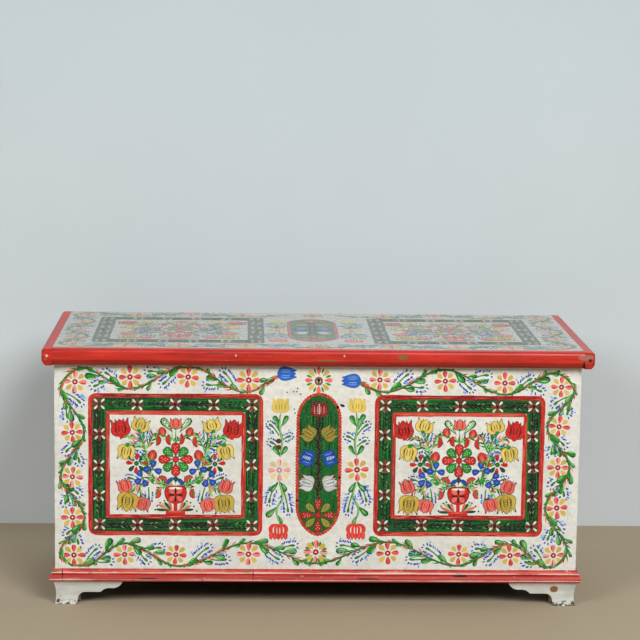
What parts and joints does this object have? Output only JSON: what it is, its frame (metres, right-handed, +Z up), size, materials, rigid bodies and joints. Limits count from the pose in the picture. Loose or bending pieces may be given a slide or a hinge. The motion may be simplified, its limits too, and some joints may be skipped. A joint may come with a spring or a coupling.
{
  "type": "painted chest",
  "caption": "Long flat-lidded pine chest on bracket feet, painted with framed flower panels, with a hinged lid, red mouldings, strap hinges and a sliding-bolt lock.",
  "frame": {"origin": "centre of the footprint on the floor", "axes": "+X along the chest to the right as seen from the front, +Y from the front to the back, +Z up"},
  "size_m": [1.3612, 0.6342, 0.651],
  "materials": {
    "painted_pine": "oil paint over pine, satin",
    "red_paint": "red oil paint over pine, satin",
    "white_paint": "brushed white paint over pine, matte",
    "bare_pine": "bare aged pine",
    "wrought_iron": "dark forged iron"
  },
  "bodies": {
    "case": {"front_board": "painted_pine", "back_board": "bare_pine", "left_end_board": "painted_pine", "right_end_board": "painted_pine", "bottom_front_plank": "bare_pine", "bottom_middle_plank": "bare_pine", "bottom_rear_plank": "bare_pine", "base_front_moulding": "red_paint", "base_left_moulding": "red_paint", "base_right_moulding": "red_paint", "front_left_foot_front": "white_paint", "front_left_foot_side": "white_paint", "front_right_foot_front": "white_paint", "front_right_foot_side": "white_paint", "rear_right_foot_rear": "white_paint", "rear_right_foot_side": "white_paint", "rear_left_foot_rear": "white_paint", "rear_left_foot_side": "white_paint", "front_left_foot_block": "bare_pine", "front_right_foot_block": "bare_pine", "rear_right_foot_block": "bare_pine", "rear_left_foot_block": "bare_pine", "hinge_left_leaf": "wrought_iron", "hinge_right_leaf": "wrought_iron", "hinge_left_pin": "wrought_iron", "hinge_right_pin": "wrought_iron", "lock_plate": "wrought_iron", "lock_staples": "wrought_iron", "lock_spring": "wrought_iron", "lock_ward_cap": "wrought_iron", "lock_key_post": "wrought_iron", "base_moulding_nails": "wrought_iron", "bottom_nails": "wrought_iron", "hinge_leaf_nails": "wrought_iron", "lock_nails": "wrought_iron"},
    "lid": {"lid_front_plank": "painted_pine", "lid_middle_plank": "painted_pine", "lid_rear_plank": "painted_pine", "lid_front_moulding": "red_paint", "lid_left_moulding": "red_paint", "lid_right_moulding": "red_paint", "hinge_left_strap": "wrought_iron", "hinge_right_strap": "wrought_iron", "lid_hasp": "wrought_iron", "lid_moulding_nails": "wrought_iron", "hinge_strap_nails": "wrought_iron", "hasp_nails": "wrought_iron"},
    "bolt": {"lock_bolt": "wrought_iron"}
  },
  "joints": [
    {"name": "lid_hinge", "type": "hinge", "parent": "case", "child": "lid", "pos_m": [0, 0.3107, 0.61992], "axis": [-1, 0, 0], "range_deg": [0, 100]},
    {"name": "bolt_slide", "type": "slide", "parent": "case", "child": "bolt", "axis": [-1, 0, 0], "range_m": [0, 0.014]}
  ]
}
